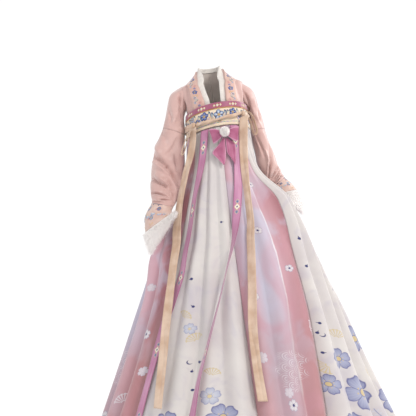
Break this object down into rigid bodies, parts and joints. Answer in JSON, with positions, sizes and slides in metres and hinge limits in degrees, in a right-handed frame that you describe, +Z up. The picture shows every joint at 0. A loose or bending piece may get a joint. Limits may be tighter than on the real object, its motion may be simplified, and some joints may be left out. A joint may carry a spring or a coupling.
{
  "type": "chest-high hanfu set with padded jacket",
  "caption": "Worn hanfu set: padded open-front jacket with fur cuffs, chest-high flared skirt of printed panels, embroidered band, sash, ribbons and bow.",
  "frame": {"origin": "middle of the shoulder line, where the wearer holds the set up", "axes": "+Z up along the wearer's height, -Y out of the wearer's front, +X to the wearer's left"},
  "size_m": [1.1795, 0.8625, 1.4215],
  "materials": {
    "jacket_padding": "satin",
    "cuff_border": "satin",
    "fur": "matte",
    "collar_embroidery": "satin",
    "liner_plush": "matte",
    "mauve_satin": "satin",
    "gold_piping": "satin",
    "cream_band": "satin",
    "cream_plain": "satin",
    "ivory_chiffon": "satin",
    "rose_chiffon": "satin",
    "mauve_ribbon": "satin",
    "tan_sash": "satin"
  },
  "bodies": {
    "root": {"jacket_body_right": "jacket_padding", "sleeve_right": "jacket_padding", "cuff_border_right": "cuff_border", "cuff_fur_right": "fur", "jacket_body_left": "jacket_padding", "sleeve_left": "jacket_padding", "cuff_border_left": "cuff_border", "cuff_fur_left": "fur", "collar_band": "collar_embroidery", "collar_liner": "liner_plush", "band_top_strip": "mauve_satin", "band_piping": "gold_piping", "band_main_strip": "cream_band", "band_lower_strip": "cream_plain", "skirt_panel_1": "rose_chiffon", "skirt_panel_2": "ivory_chiffon", "skirt_panel_3": "rose_chiffon", "skirt_panel_4": "ivory_chiffon", "skirt_panel_5": "rose_chiffon", "skirt_panel_6": "ivory_chiffon", "skirt_panel_7": "rose_chiffon", "skirt_panel_8": "ivory_chiffon", "ribbon_right": "mauve_ribbon", "ribbon_left": "mauve_ribbon", "sash_tail_right": "tan_sash", "sash_tail_left": "tan_sash", "sash_front": "tan_sash", "sash_back": "tan_sash", "sash_knot_right": "tan_sash", "sash_knot_left": "tan_sash", "sash_loop_right": "tan_sash", "sash_loop_left": "tan_sash", "bow_loop_right": "mauve_satin", "bow_loop_left": "mauve_satin", "bow_tail_right": "mauve_satin", "bow_tail_left": "mauve_satin", "bow_pompom": "fur"}
  },
  "joints": []
}
